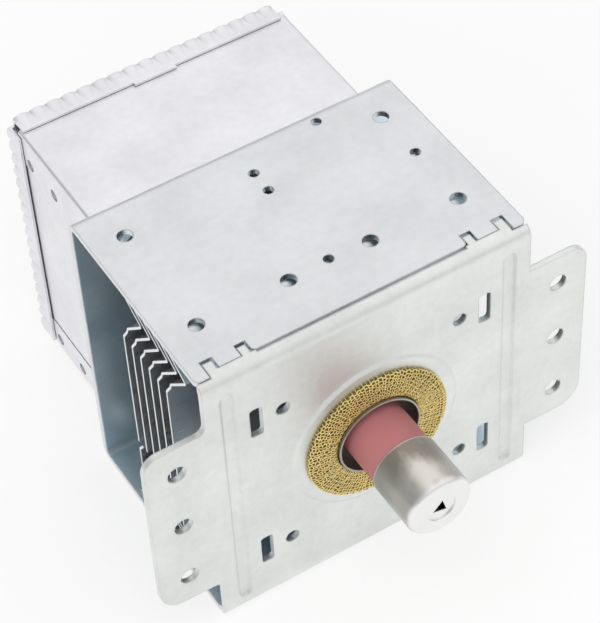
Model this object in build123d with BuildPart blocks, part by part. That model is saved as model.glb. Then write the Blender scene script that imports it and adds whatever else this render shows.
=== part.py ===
from build123d import *
import math
import os

# Magnetron of a microwave oven, all sizes in millimetres.
# The tube's axis is the Y axis: the antenna points to -Y and the filter box lies at +Y.
# The origin is where that axis crosses the front face of the mounting plate, and +Z is up.

# Yoke channel and mounting plate
yoke_width = 80.2
yoke_height = 78.5
yoke_depth = 56.5
yoke_sheet = 1.5
yoke_bend = 1.5
plate_sheet = 1.5
plate_bend = 1.5
seam_gap = 0.15
flange_setback = 0.75
flange_length = 0.3
lug_lap = 0.3
lug_corner = 1.5
shoulder_corner = 1.0
prong_length = 2.4
prong_play = 0.2
notch_gap = 0.9
prong_insets = (12.75, 4.8)
prong_widths = (1.9, 2.2)
yoke_hole = 3.6
yoke_vent = 2.4
vent_places = ((0, 40.3), (0, 16.2), (0, 10.1), (32.2, 24.1), (19.5, 4.1))
side_hole_x = 32.0
middle_hole_x = 10.0
front_hole_back = 40.8
rear_hole_back = 10.8
stem_clearance = 1.2

# Ears and openings of the mounting plate
ear_span = 109.8
ear_height = 51.2
ear_top_radius = 4.0
ear_bottom_radius = 5.8
ear_root_radius = 2.0
mount_spacing = 95.0
mount_rise = 17.5
mount_hole = 4.4
pattern_drop = 0.35
slot_x = 28.3
slot_z = 21.7
slot_width = 3.0
slot_length = 8.6
slot_corner = 0.8
pilot_x = 21.9
pilot_z = 21.9
pilot_hole = 3.4
bead_inset = 5.5
bead_length = 69.0
bead_width = 3.4
bead_depth = 0.6
bead_slope = 40.0
seat_radius = 20.2
seat_slope = 0.8
seat_height = 0.6
seat_clearance = 0.3

# Magnets, anode and cooling fins
magnet_thickness = 12.5
magnet_clearance = 0.8
magnet_fit = 0.6
magnet_edge = 0.8
pole_sheet = 1.5
pole_land = 0.3
pole_nose = 5.0
pole_cone = 5.0
pole_bore = 4.6
anode_radius = 18.8
anode_wall = 2.3
fin_count = 6
fin_pitch = 3.7
fin_sheet = 0.6
fin_inset = 1.1
fin_bore_gap = 0.05
fin_collar = 2.0
fin_rise = 6.4
fin_flange_angle = 30.3
fin_run = 7.2
fin_step_y = 2.2
fin_step_z = 3.4
fin_neck_y = 0.4
fin_neck_z = 1.3
fin_foot_drop = 4.35
fin_foot_run = 7.2
fin_plate_gap = 0.1
fin_bend = 0.9
fin_crease = 0.45
tab_foot = 18.9
tab_height = 2.7
tab_width = 3.0
tab_lean = 1.9

# Vanes, straps and cathode
vane_count = 10
vane_height = 9.5
vane_thickness = 1.9
vane_tip = 4.7
strap_radii = (6.8, 8.2)
strap_width = 0.7
strap_height = 0.9
strap_gap = 0.3
filament_radius = 2.1
filament_wire = 0.3
filament_turns = 7
shield_radius = 3.9
shield_height = 1.0
lead_radius = 0.6
side_lead_x = 3.1
lead_gap = 0.1

# Output end: seal cup, ceramic, exhaust tube, cap and gasket
seal_radius = 10.3
seal_wall = 0.5
seal_rim = 2.35
seal_round = 0.2
seal_floor = 5.0
seal_flange = 0.7
ceramic_radius = 7.5
ceramic_bore = 5.0
ceramic_end = 13.2
exhaust_flange = 0.6
exhaust_radius = 3.0
exhaust_wall = 0.8
exhaust_length = 7.5
exhaust_pinch = 2.5
antenna_radius = 1.0
antenna_offset = 11.0
antenna_window = 1.9
antenna_window_z = 7.2
antenna_bend = 1.6
antenna_rise = 2.0
antenna_dip = 4.8
cap_clearance = 0.1
cap_wall = 0.4
cap_start = 11.8
cap_end = 25.7
cap_edge = 1.6
cap_dimple_radius = 3.6
cap_dimple_depth = 0.3
cap_triangle = 2.0
cap_triangle_turn = 76.0
gasket_radius = 18.2
gasket_gap = 0.1
gasket_height = 2.0
gasket_edge = 1.2
gasket_lip = 0.9

# Stem: seal cup, ceramic and terminals
stem_reach = 5.0
stem_radius = 8.0
stem_length = 15.0
terminal_sheet = 0.6
terminal_split = 0.6
terminal_radius = 7.2
lead_end = 0.4

# Filter box and its cover
box_width = 69.4
box_height = 70.0
box_depth = 37.8
box_sheet = 0.6
flap_height = 9.0
flap_bend = 1.0
relief_side = 1.8
relief_back = 2.7
field_inset = 0.15
field_rise = 0.45
field_gap = 0.3
clinch_radius = 1.5
clinch_depth = 0.9
clinch_button = 2.0
clinch_button_height = 0.5
clinch_heights = (-31.2, 27.6)
clinch_places = (19.0, 30.2)
cover_depth = 4.8
cover_gap = 0.1
cover_corners = (1.3, 2.5)
cover_tab_width = 10.8
cover_tab_reach = 0.8
scallop_count = 17
scallop_width = 3.95
scallop_height = 0.6
rivet_place = 26.0
rivet_radius = 1.6
rivet_head = 3.0
rivet_head_height = 1.0

# Chokes
choke_axis_y = 28.5
choke_axis_z = 16.0
choke_start_x = -16.0
choke_radius = 3.4
choke_wire = 0.7
choke_pitch = 3.0
choke_turns = 5.75
choke_drop = 3.0
choke_tie = 3.6
choke_tie_gap = 1.2
ferrite_radius = 2.5
ferrite_overhang = 2.0

# Feed-through capacitor and connector
connector_y = 13.0
case_width = 13.0
case_height = 22.0
case_depth = 12.6
case_gap = 0.2
case_corner = 3.0
capacitor_sheet = 0.8
capacitor_flange_width = 20.0
capacitor_flange_height = 37.0
housing_width = 9.6
housing_height = 21.0
housing_reach = 21.4
housing_wall = 1.4
housing_base = 4.0
spade_width = 6.35
spade_sheet = 0.8
spade_z = 5.0
spade_reach = 17.0
spade_tail = 2.0
spade_gap = 0.05
spade_margin = 1.5
spade_point = 1.2
spade_hole = 1.6
spade_hole_back = 4.0
capacitor_rivet_z = 15.2
capacitor_rivet_radius = 1.2
capacitor_rivet_head = 2.2
capacitor_rivet_height = 0.8

# Places along the tube's axis that follow from the sizes above
tiny = 0.01
half_width = yoke_width / 2
half_height = yoke_height / 2
prong_centres = [half_width - inset for inset in prong_insets]
bead_x = half_width - bead_inset
lug_reach = plate_sheet + lug_lap
flange_reach = plate_sheet + plate_bend + flange_length
prong_reach = flange_reach + prong_length
notch_shoulder = prong_centres[0] - prong_widths[0] / 2 - seam_gap - prong_play
inner_top = half_height - yoke_sheet
inner_rear = yoke_depth - yoke_sheet
front_pole_y = plate_sheet + magnet_thickness
rear_pole_y = inner_rear - magnet_thickness
anode_front = front_pole_y + pole_sheet
anode_rear = rear_pole_y - pole_sheet
anode_middle = (anode_front + anode_rear) / 2
anode_inner = anode_radius - anode_wall
pole_flat = seal_radius - seal_wall - pole_land
vane_front = anode_middle - vane_height / 2
vane_rear = anode_middle + vane_height / 2
cap_inner = ceramic_radius + cap_clearance
cap_radius = cap_inner + cap_wall
magnet_bore = seal_radius + magnet_fit
stem_start = yoke_depth + stem_reach
stem_end = stem_start + stem_length
box_half_width = box_width / 2
box_half_height = box_height / 2
box_rear = yoke_depth + box_depth
wall_x = box_half_width - field_inset
wall_low_x = wall_x - field_rise
wall_rear = box_rear - box_sheet
choke_y = yoke_depth + choke_axis_y
capacitor_y = yoke_depth + connector_y

# Places of the fins' folds, taken from the foremost fin
fin_half_width = half_width - fin_inset
first_fin_y = anode_middle - fin_pitch * (fin_count - 1) / 2
fin_fold_z = inner_top - fin_rise
fin_elbow_z = fin_fold_z - fin_run
fin_elbow_back = fin_step_y + fin_neck_y
fin_straight = fin_elbow_z - fin_neck_z - fin_step_z
fin_foot_z = fin_fold_z - fin_foot_drop
fin_end_z = inner_top - fin_plate_gap - fin_sheet / 2
fin_bore = anode_radius + fin_bore_gap
magnet_radius = fin_elbow_z + (first_fin_y - fin_elbow_back - front_pole_y) - magnet_clearance

os.makedirs("parts", exist_ok=True)


def save(piece, label):
    """Name a finished piece and write it as a STEP file."""
    piece.part.label = label
    export_step(piece.part, f"parts/{label}.step")


def turned(inner, outer, start, end, mode=Mode.ADD):
    """Add or cut a ring turned about the tube's axis, between two places along it."""
    with BuildSketch(Plane.XY) as section:
        with Locations(((inner + outer) / 2, (start + end) / 2)):
            Rectangle(outer - inner, abs(end - start))
    revolve(section.sketch, axis=Axis.Y, mode=mode)


def flange_zone(gap, play, end_gap, mode=Mode.ADD):
    """Plan of the strip where the mounting plate's flange lies flush with the yoke."""
    outer_prong = prong_centres[1] + prong_widths[1] / 2
    with Locations((0, (flange_reach + gap) / 2)):
        Rectangle(2 * (outer_prong + gap + play), flange_reach + gap, mode=mode)
    with Locations((0, (lug_reach + gap) / 2)):
        Rectangle(yoke_width, lug_reach + gap, mode=mode)
    for centre, width in zip(prong_centres, prong_widths):
        for side in (-1, 1):
            with Locations((side * centre, (prong_reach + end_gap) / 2)):
                Rectangle(width + 2 * (gap + play), prong_reach + end_gap, mode=mode)


# Yoke channel: top plate, rear wall and bottom plate folded from one sheet
with BuildPart() as yoke_channel:
    with BuildSketch(Plane.YZ):
        with BuildLine() as yoke_line:
            FilletPolyline(
                (0, half_height - yoke_sheet / 2),
                (yoke_depth - yoke_sheet / 2, half_height - yoke_sheet / 2),
                (yoke_depth - yoke_sheet / 2, -half_height + yoke_sheet / 2),
                (0, -half_height + yoke_sheet / 2),
                radius=yoke_bend + yoke_sheet / 2,
            )
        trace(line_width=yoke_sheet)
    extrude(amount=half_width, both=True)
    with BuildSketch(Plane.XY) as front_cut:
        flange_zone(seam_gap, prong_play, notch_gap)
        shoulders = (
            front_cut.vertices()
            .filter_by(lambda corner: abs(abs(corner.X) - notch_shoulder) < tiny)
            .filter_by(lambda corner: abs(corner.Y - flange_reach - seam_gap) < tiny)
        )
        fillet(shoulders, radius=shoulder_corner)
    extrude(amount=yoke_height, both=True, mode=Mode.SUBTRACT)
    lug_corners = (
        yoke_channel.edges()
        .filter_by(Axis.Z)
        .filter_by(lambda edge: abs(abs(edge.center().X) - half_width) < tiny)
        .filter_by(lambda edge: abs(edge.center().Y - lug_reach - seam_gap) < tiny)
    )
    fillet(lug_corners, radius=lug_corner)
    with BuildSketch(Plane.XY):
        with Locations((0, yoke_depth - front_hole_back), (0, yoke_depth - rear_hole_back)):
            with Locations((-side_hole_x, 0), (side_hole_x, 0)):
                Circle(yoke_hole / 2)
        with Locations((0, yoke_depth - front_hole_back)):
            with Locations((-middle_hole_x, 0), (middle_hole_x, 0)):
                Circle(yoke_hole / 2)
        with Locations(*[(x, yoke_depth - back) for x, back in vent_places]):
            Circle(yoke_vent / 2)
    extrude(amount=yoke_height, both=True, mode=Mode.SUBTRACT)
    with BuildSketch(Plane.XZ.offset(-inner_rear)):
        Circle(seal_radius + stem_clearance)
        with GridLocations(2 * rivet_place, 2 * rivet_place, 2, 2):
            Circle(rivet_radius)
    extrude(amount=-yoke_sheet, mode=Mode.SUBTRACT)
save(yoke_channel, "yoke_channel")

# Mounting plate: ears, slots, beads and gasket seat pressed in one sheet, both ends bent back
def seat_frustum(face_y, mode):
    """Low cone frustum of the gasket seat, standing off the plane at face_y."""
    with BuildSketch(Plane.XY) as section:
        Polygon(
            (0, face_y),
            (seat_radius + seat_slope, face_y),
            (seat_radius, face_y - seat_height),
            (0, face_y - seat_height),
            align=None,
        )
    revolve(section.sketch, axis=Axis.Y, mode=mode)


def bead_fields():
    """Round-ended outlines of the two upright beads."""
    with Locations((-bead_x, -pattern_drop), (bead_x, -pattern_drop)):
        SlotOverall(bead_length, bead_width, rotation=90)


with BuildPart() as mounting_plate:
    with BuildSketch(Plane.YZ):
        with BuildLine():
            FilletPolyline(
                (prong_reach, half_height - plate_sheet / 2),
                (plate_sheet / 2, half_height - plate_sheet / 2),
                (plate_sheet / 2, -half_height + plate_sheet / 2),
                (prong_reach, -half_height + plate_sheet / 2),
                radius=plate_bend + plate_sheet / 2,
            )
        trace(line_width=plate_sheet)
    extrude(amount=half_width, both=True)
    with BuildSketch(Plane.XY):
        Rectangle(2 * yoke_width, 4 * prong_reach)
        with Locations((-prong_play, 0)):
            flange_zone(0, 0, 0, mode=Mode.SUBTRACT)
        with Locations((0, flange_reach)):
            Rectangle(2 * (prong_centres[0] - prong_widths[0]), 2 * flange_setback)
    extrude(amount=yoke_height, both=True, mode=Mode.SUBTRACT)
    with BuildSketch(Plane.XZ) as ears:
        Rectangle(ear_span, ear_height)
        fillet(ears.vertices().group_by(Axis.Y)[-1], radius=ear_top_radius)
        fillet(ears.vertices().group_by(Axis.Y)[0], radius=ear_bottom_radius)
    extrude(amount=-plate_sheet)
    ear_roots = (
        mounting_plate.edges()
        .filter_by(Axis.Y)
        .filter_by(lambda edge: abs(abs(edge.center().X) - half_width) < tiny)
        .filter_by(lambda edge: abs(abs(edge.center().Z) - ear_height / 2) < tiny)
    )
    fillet(ear_roots, radius=ear_root_radius)
    with BuildSketch(Plane.XZ.offset(-plate_sheet)):
        bead_fields()
    extrude(amount=-bead_depth, taper=bead_slope)
    with BuildSketch(Plane.XZ):
        bead_fields()
    extrude(amount=-bead_depth, taper=bead_slope, mode=Mode.SUBTRACT)
    seat_frustum(0, Mode.ADD)
    seat_frustum(plate_sheet, Mode.SUBTRACT)
    with BuildSketch(Plane.XZ):
        Circle(seal_radius + seat_clearance)
        with GridLocations(mount_spacing, mount_rise, 2, 3):
            Circle(mount_hole / 2)
        with Locations((0, -pattern_drop)):
            with GridLocations(2 * slot_x, 2 * slot_z, 2, 2):
                RectangleRounded(slot_width, slot_length, slot_corner)
            with GridLocations(2 * pilot_x, 2 * pilot_z, 2, 2):
                Circle(pilot_hole / 2)
    extrude(amount=2 * plate_sheet, both=True, mode=Mode.SUBTRACT)
save(mounting_plate, "mounting_plate")


# Ring magnets on both sides of the anode
def magnet(start, end):
    """Ring magnet with chamfered outer edges."""
    with BuildPart() as disc:
        turned(magnet_bore, magnet_radius, start, end)
        chamfer(disc.edges().filter_by(GeomType.CIRCLE).group_by(SortBy.RADIUS)[-1], length=magnet_edge)
    return disc


save(magnet(plate_sheet, front_pole_y), "magnet_front")
save(magnet(rear_pole_y, inner_rear), "magnet_rear")


# Pole pieces: pressed iron funnels that close both ends of the anode
def pole_section(face_y, inward):
    """Half section of a pole piece whose flat rim lies on the plane at face_y."""
    nose_y = face_y + inward * pole_cone
    depth = inward * pole_sheet
    with BuildSketch(Plane.XY) as section:
        Polygon(
            (anode_radius, face_y),
            (pole_flat, face_y),
            (pole_nose, nose_y),
            (pole_bore, nose_y),
            (pole_bore, nose_y + depth),
            (pole_nose, nose_y + depth),
            (pole_flat, face_y + depth),
            (anode_radius, face_y + depth),
            align=None,
        )
    revolve(section.sketch, axis=Axis.Y)


with BuildPart() as pole_piece_front:
    pole_section(front_pole_y, 1)
    with BuildSketch(Plane.XZ.offset(-front_pole_y)):
        with Locations((0, antenna_window_z)):
            Circle(antenna_window)
    extrude(amount=-(pole_cone + 2 * pole_sheet), mode=Mode.SUBTRACT)
save(pole_piece_front, "pole_piece_front")

with BuildPart() as pole_piece_rear:
    pole_section(rear_pole_y, -1)
save(pole_piece_rear, "pole_piece_rear")

with BuildPart() as anode_shell:
    turned(anode_inner, anode_radius, anode_front, anode_rear)
save(anode_shell, "anode_shell")


# Cooling fins: each one sheet, stepped forward, folded back on itself and pressed on the anode
def fin_corners(fin_y):
    """Corners of a fin's middle line in side view, from its upper end down to its lower end."""
    reach = (fin_end_z - fin_fold_z) / math.tan(math.radians(fin_flange_angle))
    upper_fold_y = fin_y - fin_elbow_back - fin_run
    lower_fold_y = fin_y - fin_foot_run
    return (
        (upper_fold_y + reach, fin_end_z),
        (upper_fold_y, fin_fold_z),
        (fin_y - fin_elbow_back, fin_elbow_z),
        (fin_y - fin_step_y, fin_elbow_z - fin_neck_z),
        (fin_y, fin_straight),
        (fin_y, -fin_foot_z),
        (lower_fold_y, -fin_fold_z),
        (lower_fold_y + reach, -fin_end_z),
    )


def cooling_fin(fin_y):
    """One fin with its collar and the spacer tabs lanced from both side edges."""
    with BuildPart() as fin:
        with BuildSketch(Plane.YZ):
            with BuildLine():
                FilletPolyline(
                    *fin_corners(fin_y),
                    radius=(fin_crease, fin_bend, fin_bend, fin_bend, fin_bend, fin_crease),
                )
            trace(line_width=fin_sheet)
        extrude(amount=fin_half_width, both=True)
        turned(anode_radius, fin_bore + fin_sheet, fin_y - fin_collar, fin_y)
        turned(0, fin_bore, fin_y - fin_collar - fin_sheet, fin_y + fin_sheet, mode=Mode.SUBTRACT)
        with BuildSketch(Plane.XZ.offset(-fin_y)):
            with Locations((0, tab_height / 2 - tab_foot)):
                Rectangle(2 * fin_half_width, tab_height)
                Rectangle(2 * (fin_half_width - tab_width), tab_height, mode=Mode.SUBTRACT)
        extrude(amount=fin_sheet, both=True, mode=Mode.SUBTRACT)
        with BuildSketch(Plane.YZ.offset(-fin_half_width)):
            with BuildLine():
                Polyline(
                    (fin_y, -tab_foot - fin_sheet),
                    (fin_y, -tab_foot),
                    (fin_y - tab_lean, tab_height - tab_foot),
                )
            trace(line_width=fin_sheet)
        tab = extrude(amount=tab_width)
        mirror(tab, about=Plane.YZ)
    return fin


for number in range(fin_count):
    save(cooling_fin(first_fin_y + number * fin_pitch), f"cooling_fin_{number + 1}")


# Anode vanes, each touching one strap of each pair and clearing the other
def vane_set(start_angle, touched_in_front):
    """Every other vane; its grooves are deeper by strap_gap where a strap passes free."""
    with BuildPart() as vanes:
        with BuildSketch(Plane.XZ.offset(-vane_front)):
            with PolarLocations((vane_tip + anode_radius) / 2, vane_count // 2, start_angle=start_angle):
                Rectangle(anode_radius - vane_tip, vane_thickness)
        extrude(amount=-vane_height)
        with BuildSketch(Plane.XZ.offset(-vane_front)):
            Circle(anode_inner)
        extrude(amount=-vane_height, mode=Mode.INTERSECT)
        for number, radius in enumerate(strap_radii):
            front_depth = strap_height + strap_gap * (number != touched_in_front)
            rear_depth = strap_height + strap_gap * (number == touched_in_front)
            inner = radius - strap_width / 2 - strap_gap
            outer = radius + strap_width / 2 + strap_gap
            turned(inner, outer, vane_front, vane_front + front_depth, mode=Mode.SUBTRACT)
            turned(inner, outer, vane_rear - rear_depth, vane_rear, mode=Mode.SUBTRACT)
    return vanes.part


with BuildPart() as anode_vanes:
    add(vane_set(90, 0))
    add(vane_set(90 + 360 / vane_count, 1))
save(anode_vanes, "anode_vanes")


def strap(radius, start):
    """One strap ring with its front face on the plane at start."""
    with BuildPart() as band:
        turned(radius - strap_width / 2, radius + strap_width / 2, start, start + strap_height)
    return band


save(strap(strap_radii[0], vane_front), "strap_front_inner")
save(strap(strap_radii[1], vane_front), "strap_front_outer")
save(strap(strap_radii[0], vane_rear - strap_height), "strap_rear_inner")
save(strap(strap_radii[1], vane_rear - strap_height), "strap_rear_outer")

# Cathode: coiled filament between two end shields, carried by the centre and side leads
shield_front_y = vane_front - shield_height
lead_rear = stem_end + terminal_sheet + lead_end

with BuildPart() as cathode_filament:
    with BuildLine() as filament_line:
        Helix(
            pitch=(vane_height - 2 * filament_wire) / filament_turns,
            height=vane_height - 2 * filament_wire,
            radius=filament_radius,
            center=(0, vane_front + filament_wire, 0),
            direction=(0, 1, 0),
        )
    with BuildSketch(Plane(origin=filament_line.line @ 0, z_dir=filament_line.line % 0)):
        Circle(filament_wire)
    sweep(is_frenet=True)
save(cathode_filament, "cathode_filament")

with BuildPart() as end_shield_front:
    turned(lead_radius + lead_gap, shield_radius, shield_front_y, vane_front)
save(end_shield_front, "end_shield_front")

with BuildPart() as end_shield_rear:
    turned(lead_radius + lead_gap, shield_radius, vane_rear, vane_rear + shield_height)
save(end_shield_rear, "end_shield_rear")

with BuildPart() as centre_lead:
    turned(0, lead_radius, shield_front_y, lead_rear)
save(centre_lead, "centre_lead")

with BuildPart() as side_lead:
    with BuildSketch(Plane.XZ.offset(-(vane_rear + shield_height))):
        with Locations((side_lead_x, 0)):
            Circle(lead_radius)
    extrude(amount=vane_rear + shield_height - lead_rear)
save(side_lead, "side_lead")

# Output end: seal cup, ceramic, antenna lead, exhaust tube, cap and gasket
with BuildPart() as output_seal:
    turned(seal_radius - seal_wall, seal_radius, -seal_rim, front_pole_y)
    turned(ceramic_bore, seal_radius - seal_wall, seal_floor, seal_floor + seal_flange)
    rim = output_seal.edges().filter_by(GeomType.CIRCLE).group_by(Axis.Y)[0]
    fillet(rim, radius=seal_round)
save(output_seal, "output_seal")

with BuildPart() as output_ceramic:
    turned(ceramic_bore, ceramic_radius, -ceramic_end, seal_floor)
save(output_ceramic, "output_ceramic")

exhaust_start = -ceramic_end - exhaust_flange
exhaust_end = exhaust_start - exhaust_length

with BuildPart() as antenna_lead:
    with BuildLine(Plane.YZ) as antenna_line:
        FilletPolyline(
            (vane_front, antenna_offset),
            (vane_front - antenna_rise, antenna_offset),
            (front_pole_y + antenna_dip, antenna_window_z),
            (front_pole_y - pole_sheet, antenna_window_z),
            (seal_floor + seal_flange, 0),
            (exhaust_end, 0),
            radius=antenna_bend,
        )
    with BuildSketch(Plane(origin=antenna_line.line @ 0, z_dir=antenna_line.line % 0)):
        Circle(antenna_radius)
    sweep()
save(antenna_lead, "antenna_lead")

with BuildPart() as exhaust_tube:
    turned(exhaust_radius - exhaust_wall, ceramic_radius, -ceramic_end, exhaust_start)
    turned(exhaust_radius - exhaust_wall, exhaust_radius, exhaust_start, exhaust_end)
    with BuildSketch(Plane.XZ.offset(-exhaust_end)):
        Circle(exhaust_radius)
    with BuildSketch(Plane.XZ.offset(-exhaust_end + exhaust_pinch)):
        SlotOverall(2 * exhaust_radius + exhaust_wall, exhaust_wall)
    loft()
save(exhaust_tube, "exhaust_tube")

with BuildPart() as antenna_cap:
    turned(0, cap_radius, -cap_end, -cap_start)
    fillet(antenna_cap.edges().filter_by(GeomType.CIRCLE).group_by(Axis.Y)[0], radius=cap_edge)
    offset(amount=-cap_wall, openings=antenna_cap.faces().sort_by(Axis.Y)[-1])
    pad_start = -cap_end + cap_wall
    turned(0, cap_dimple_radius + cap_wall, pad_start, pad_start + cap_dimple_depth)
    turned(0, cap_dimple_radius, -cap_end, -cap_end + cap_dimple_depth, mode=Mode.SUBTRACT)
    with BuildSketch(Plane.XZ.offset(cap_end)):
        RegularPolygon(radius=cap_triangle, side_count=3, rotation=cap_triangle_turn)
    extrude(amount=-2 * (cap_wall + cap_dimple_depth), mode=Mode.SUBTRACT)
save(antenna_cap, "antenna_cap")

with BuildPart() as rf_gasket:
    gasket_inner = seal_radius + gasket_gap
    gasket_front = -seat_height - gasket_height
    with BuildSketch(Plane.XY) as gasket_section:
        Polygon(
            (gasket_inner, -seat_height),
            (gasket_radius, -seat_height),
            (gasket_radius, gasket_front),
            (gasket_inner, gasket_front),
            align=None,
        )
        front_corners = gasket_section.vertices().group_by(Axis.Y)[0].sort_by(Axis.X)
        fillet(front_corners[-1], radius=gasket_edge)
        fillet(front_corners[0], radius=gasket_lip)
    revolve(axis=Axis.Y)
save(rf_gasket, "rf_gasket")

# Stem: seal cup, ceramic and the two terminal plates
with BuildPart() as stem_seal:
    turned(seal_radius - seal_wall, seal_radius, rear_pole_y, stem_start)
    turned(ceramic_bore, seal_radius - seal_wall, stem_start - seal_flange, stem_start)
save(stem_seal, "stem_seal")

with BuildPart() as stem_ceramic:
    turned(0, stem_radius, stem_start, stem_end)
    with BuildSketch(Plane.XZ.offset(-stem_start)):
        with Locations((0, 0), (side_lead_x, 0)):
            Circle(lead_radius + lead_gap)
    extrude(amount=-stem_length, mode=Mode.SUBTRACT)
save(stem_ceramic, "stem_ceramic")


def stem_terminal(lead_x, side):
    """Part of a disc on the stem's end, on one side of the line between the two leads."""
    edge_x = side_lead_x / 2 + side * terminal_split / 2
    with BuildPart() as plate:
        with BuildSketch(Plane.XZ.offset(-stem_end)):
            Circle(terminal_radius)
            with Locations((edge_x - side * terminal_radius, 0)):
                Rectangle(2 * terminal_radius, 2 * terminal_radius, mode=Mode.SUBTRACT)
            with Locations((lead_x, 0)):
                Circle(lead_radius + lead_gap, mode=Mode.SUBTRACT)
        extrude(amount=-terminal_sheet)
    return plate


save(stem_terminal(0, -1), "stem_terminal_centre")
save(stem_terminal(side_lead_x, 1), "stem_terminal_side")

# Filter box: folded sheet, with the flaps of its top and bottom lapped over both sides
flap_x = box_half_width - box_sheet / 2
flap_z = box_half_height - flap_height / 2
field_height = 2 * (box_half_height - flap_height - field_gap)
wall_length = wall_rear - yoke_depth
wall_y = (yoke_depth + wall_rear) / 2
clinch_spots = [(yoke_depth + place, height) for place in clinch_places for height in clinch_heights]
box_corners = [(x, z) for x in (-box_half_width, box_half_width) for z in (-box_half_height, box_half_height)]
relief_spots = [(x, wall_rear, z) for x, z in box_corners]

with BuildPart() as filter_box:
    with Locations((0, wall_y, 0)):
        Box(2 * wall_x, wall_length, field_height)
        Box(2 * wall_low_x, wall_length, box_height)
    for x in (-flap_x, flap_x):
        with Locations((x, wall_y, -flap_z), (x, wall_y, flap_z)):
            Box(box_sheet, wall_length, flap_height)
    flap_folds = (
        filter_box.edges()
        .filter_by(Axis.Y)
        .filter_by(lambda edge: abs(edge.center().X) > box_half_width - tiny)
        .filter_by(lambda edge: abs(edge.center().Z) > box_half_height - tiny)
    )
    fillet(flap_folds, radius=flap_bend)
    with Locations((0, wall_y + box_sheet, 0)):
        Box(2 * (wall_x - box_sheet), wall_length, field_height - 2 * box_sheet, mode=Mode.SUBTRACT)
        Box(2 * (wall_low_x - box_sheet), wall_length, box_height - 2 * box_sheet, mode=Mode.SUBTRACT)
    for outward in (-1, 1):
        with BuildSketch(Plane.YZ.offset(outward * (wall_low_x - box_sheet))):
            with Locations(*clinch_spots):
                Circle(clinch_button)
        extrude(amount=-outward * clinch_button_height)
        with BuildSketch(Plane.YZ.offset(outward * box_half_width)):
            with Locations(*clinch_spots):
                Circle(clinch_radius)
        extrude(amount=-outward * clinch_depth, mode=Mode.SUBTRACT)
    with BuildSketch(Plane.XZ.offset(-yoke_depth)):
        Circle(seal_radius + stem_clearance)
        with GridLocations(2 * rivet_place, 2 * rivet_place, 2, 2):
            Circle(rivet_radius)
    extrude(amount=-box_sheet, mode=Mode.SUBTRACT)
    with BuildSketch(Plane.YZ.offset(wall_x)):
        with Locations((capacitor_y, 0)):
            RectangleRounded(case_width + 2 * case_gap, case_height + 2 * case_gap, case_corner)
        with Locations((capacitor_y, -capacitor_rivet_z), (capacitor_y, capacitor_rivet_z)):
            Circle(capacitor_rivet_radius)
    extrude(amount=-box_sheet, mode=Mode.SUBTRACT)
    with Locations(*relief_spots):
        Box(2 * relief_side, 2 * relief_back, 2 * relief_side, mode=Mode.SUBTRACT)
save(filter_box, "filter_box")

# Cover: a shallow tray whose flange grips the box, crimped into scallops that fade out towards its front edge
cover_half_x = box_half_width + cover_gap + box_sheet
cover_half_z = box_half_height + cover_gap + box_sheet
cover_front = box_rear - cover_depth
cover_middle = (cover_corners[0] - cover_corners[1]) / 2
scallop_radius = (scallop_width**2 / 4 + scallop_height**2) / (2 * scallop_height)


def scallops(half_across):
    """Places of the crimps' cones along both edges that run in the first direction."""
    depth = half_across + scallop_height - scallop_radius
    places = [(number - (scallop_count - 1) / 2) * scallop_width for number in range(scallop_count)]
    return [(cover_middle + place, side * depth) for place in places for side in (-1, 1)]


def corner_cut(side, size, height):
    """Plan of the sheet missing at the upper and lower corner of one side, a square of one size."""
    for end in (-1, 1):
        with Locations((side * cover_half_x, end * cover_half_z)):
            Rectangle(2 * size, 2 * (size + height))


crimp_places = [(x, cover_front + cover_depth / 2, z) for x, z in scallops(cover_half_z)]
crimp_places += [(x, cover_front + cover_depth / 2, -z) for z, x in scallops(cover_half_x)]

with BuildPart() as filter_box_cover:
    with BuildSketch(Plane.XZ.offset(-box_rear)):
        Rectangle(2 * cover_half_x, 2 * cover_half_z)
    extrude(amount=cover_depth)
    with Locations(*crimp_places):
        Cone(scallop_radius, scallop_radius - scallop_height, cover_depth, rotation=(90, 0, 0))
    with BuildSketch(Plane.XZ.offset(-cover_front)):
        with Locations((cover_middle, 0)):
            Rectangle(cover_tab_width, 2 * cover_half_z)
    extrude(amount=cover_tab_reach)
    with BuildSketch(Plane.XZ.offset(-box_rear)):
        corner_cut(-1, cover_corners[0], scallop_height)
        corner_cut(1, cover_corners[1], scallop_height)
    extrude(amount=cover_depth, mode=Mode.SUBTRACT)
    with BuildSketch(Plane.XZ.offset(-wall_rear)):
        Rectangle(2 * (box_half_width + cover_gap), 2 * (box_half_height + cover_gap))
    extrude(amount=cover_depth + cover_tab_reach, mode=Mode.SUBTRACT)
save(filter_box_cover, "filter_box_cover")

with BuildPart() as filter_box_rivets:
    with BuildSketch(Plane.XZ.offset(-inner_rear + rivet_head_height)):
        with GridLocations(2 * rivet_place, 2 * rivet_place, 2, 2):
            Circle(rivet_head)
    extrude(amount=-rivet_head_height)
    with BuildSketch(Plane.XZ.offset(-inner_rear)):
        with GridLocations(2 * rivet_place, 2 * rivet_place, 2, 2):
            Circle(rivet_radius)
    extrude(amount=-(yoke_sheet + box_sheet))
    with BuildSketch(Plane.XZ.offset(-(yoke_depth + box_sheet))):
        with GridLocations(2 * rivet_place, 2 * rivet_place, 2, 2):
            Circle(rivet_head)
    extrude(amount=-rivet_head_height)
save(filter_box_rivets, "filter_box_rivets")

# Feed-through capacitor, its connector housing and the spade terminals
flange_x = wall_x + capacitor_sheet
case_x = wall_x - case_depth


def spade_slits(growth, mode=Mode.ADD):
    """Section of the two spades, grown on every side."""
    with Locations((capacitor_y, -spade_z), (capacitor_y, spade_z)):
        Rectangle(spade_width + 2 * growth, spade_sheet + 2 * growth, mode=mode)


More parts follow.
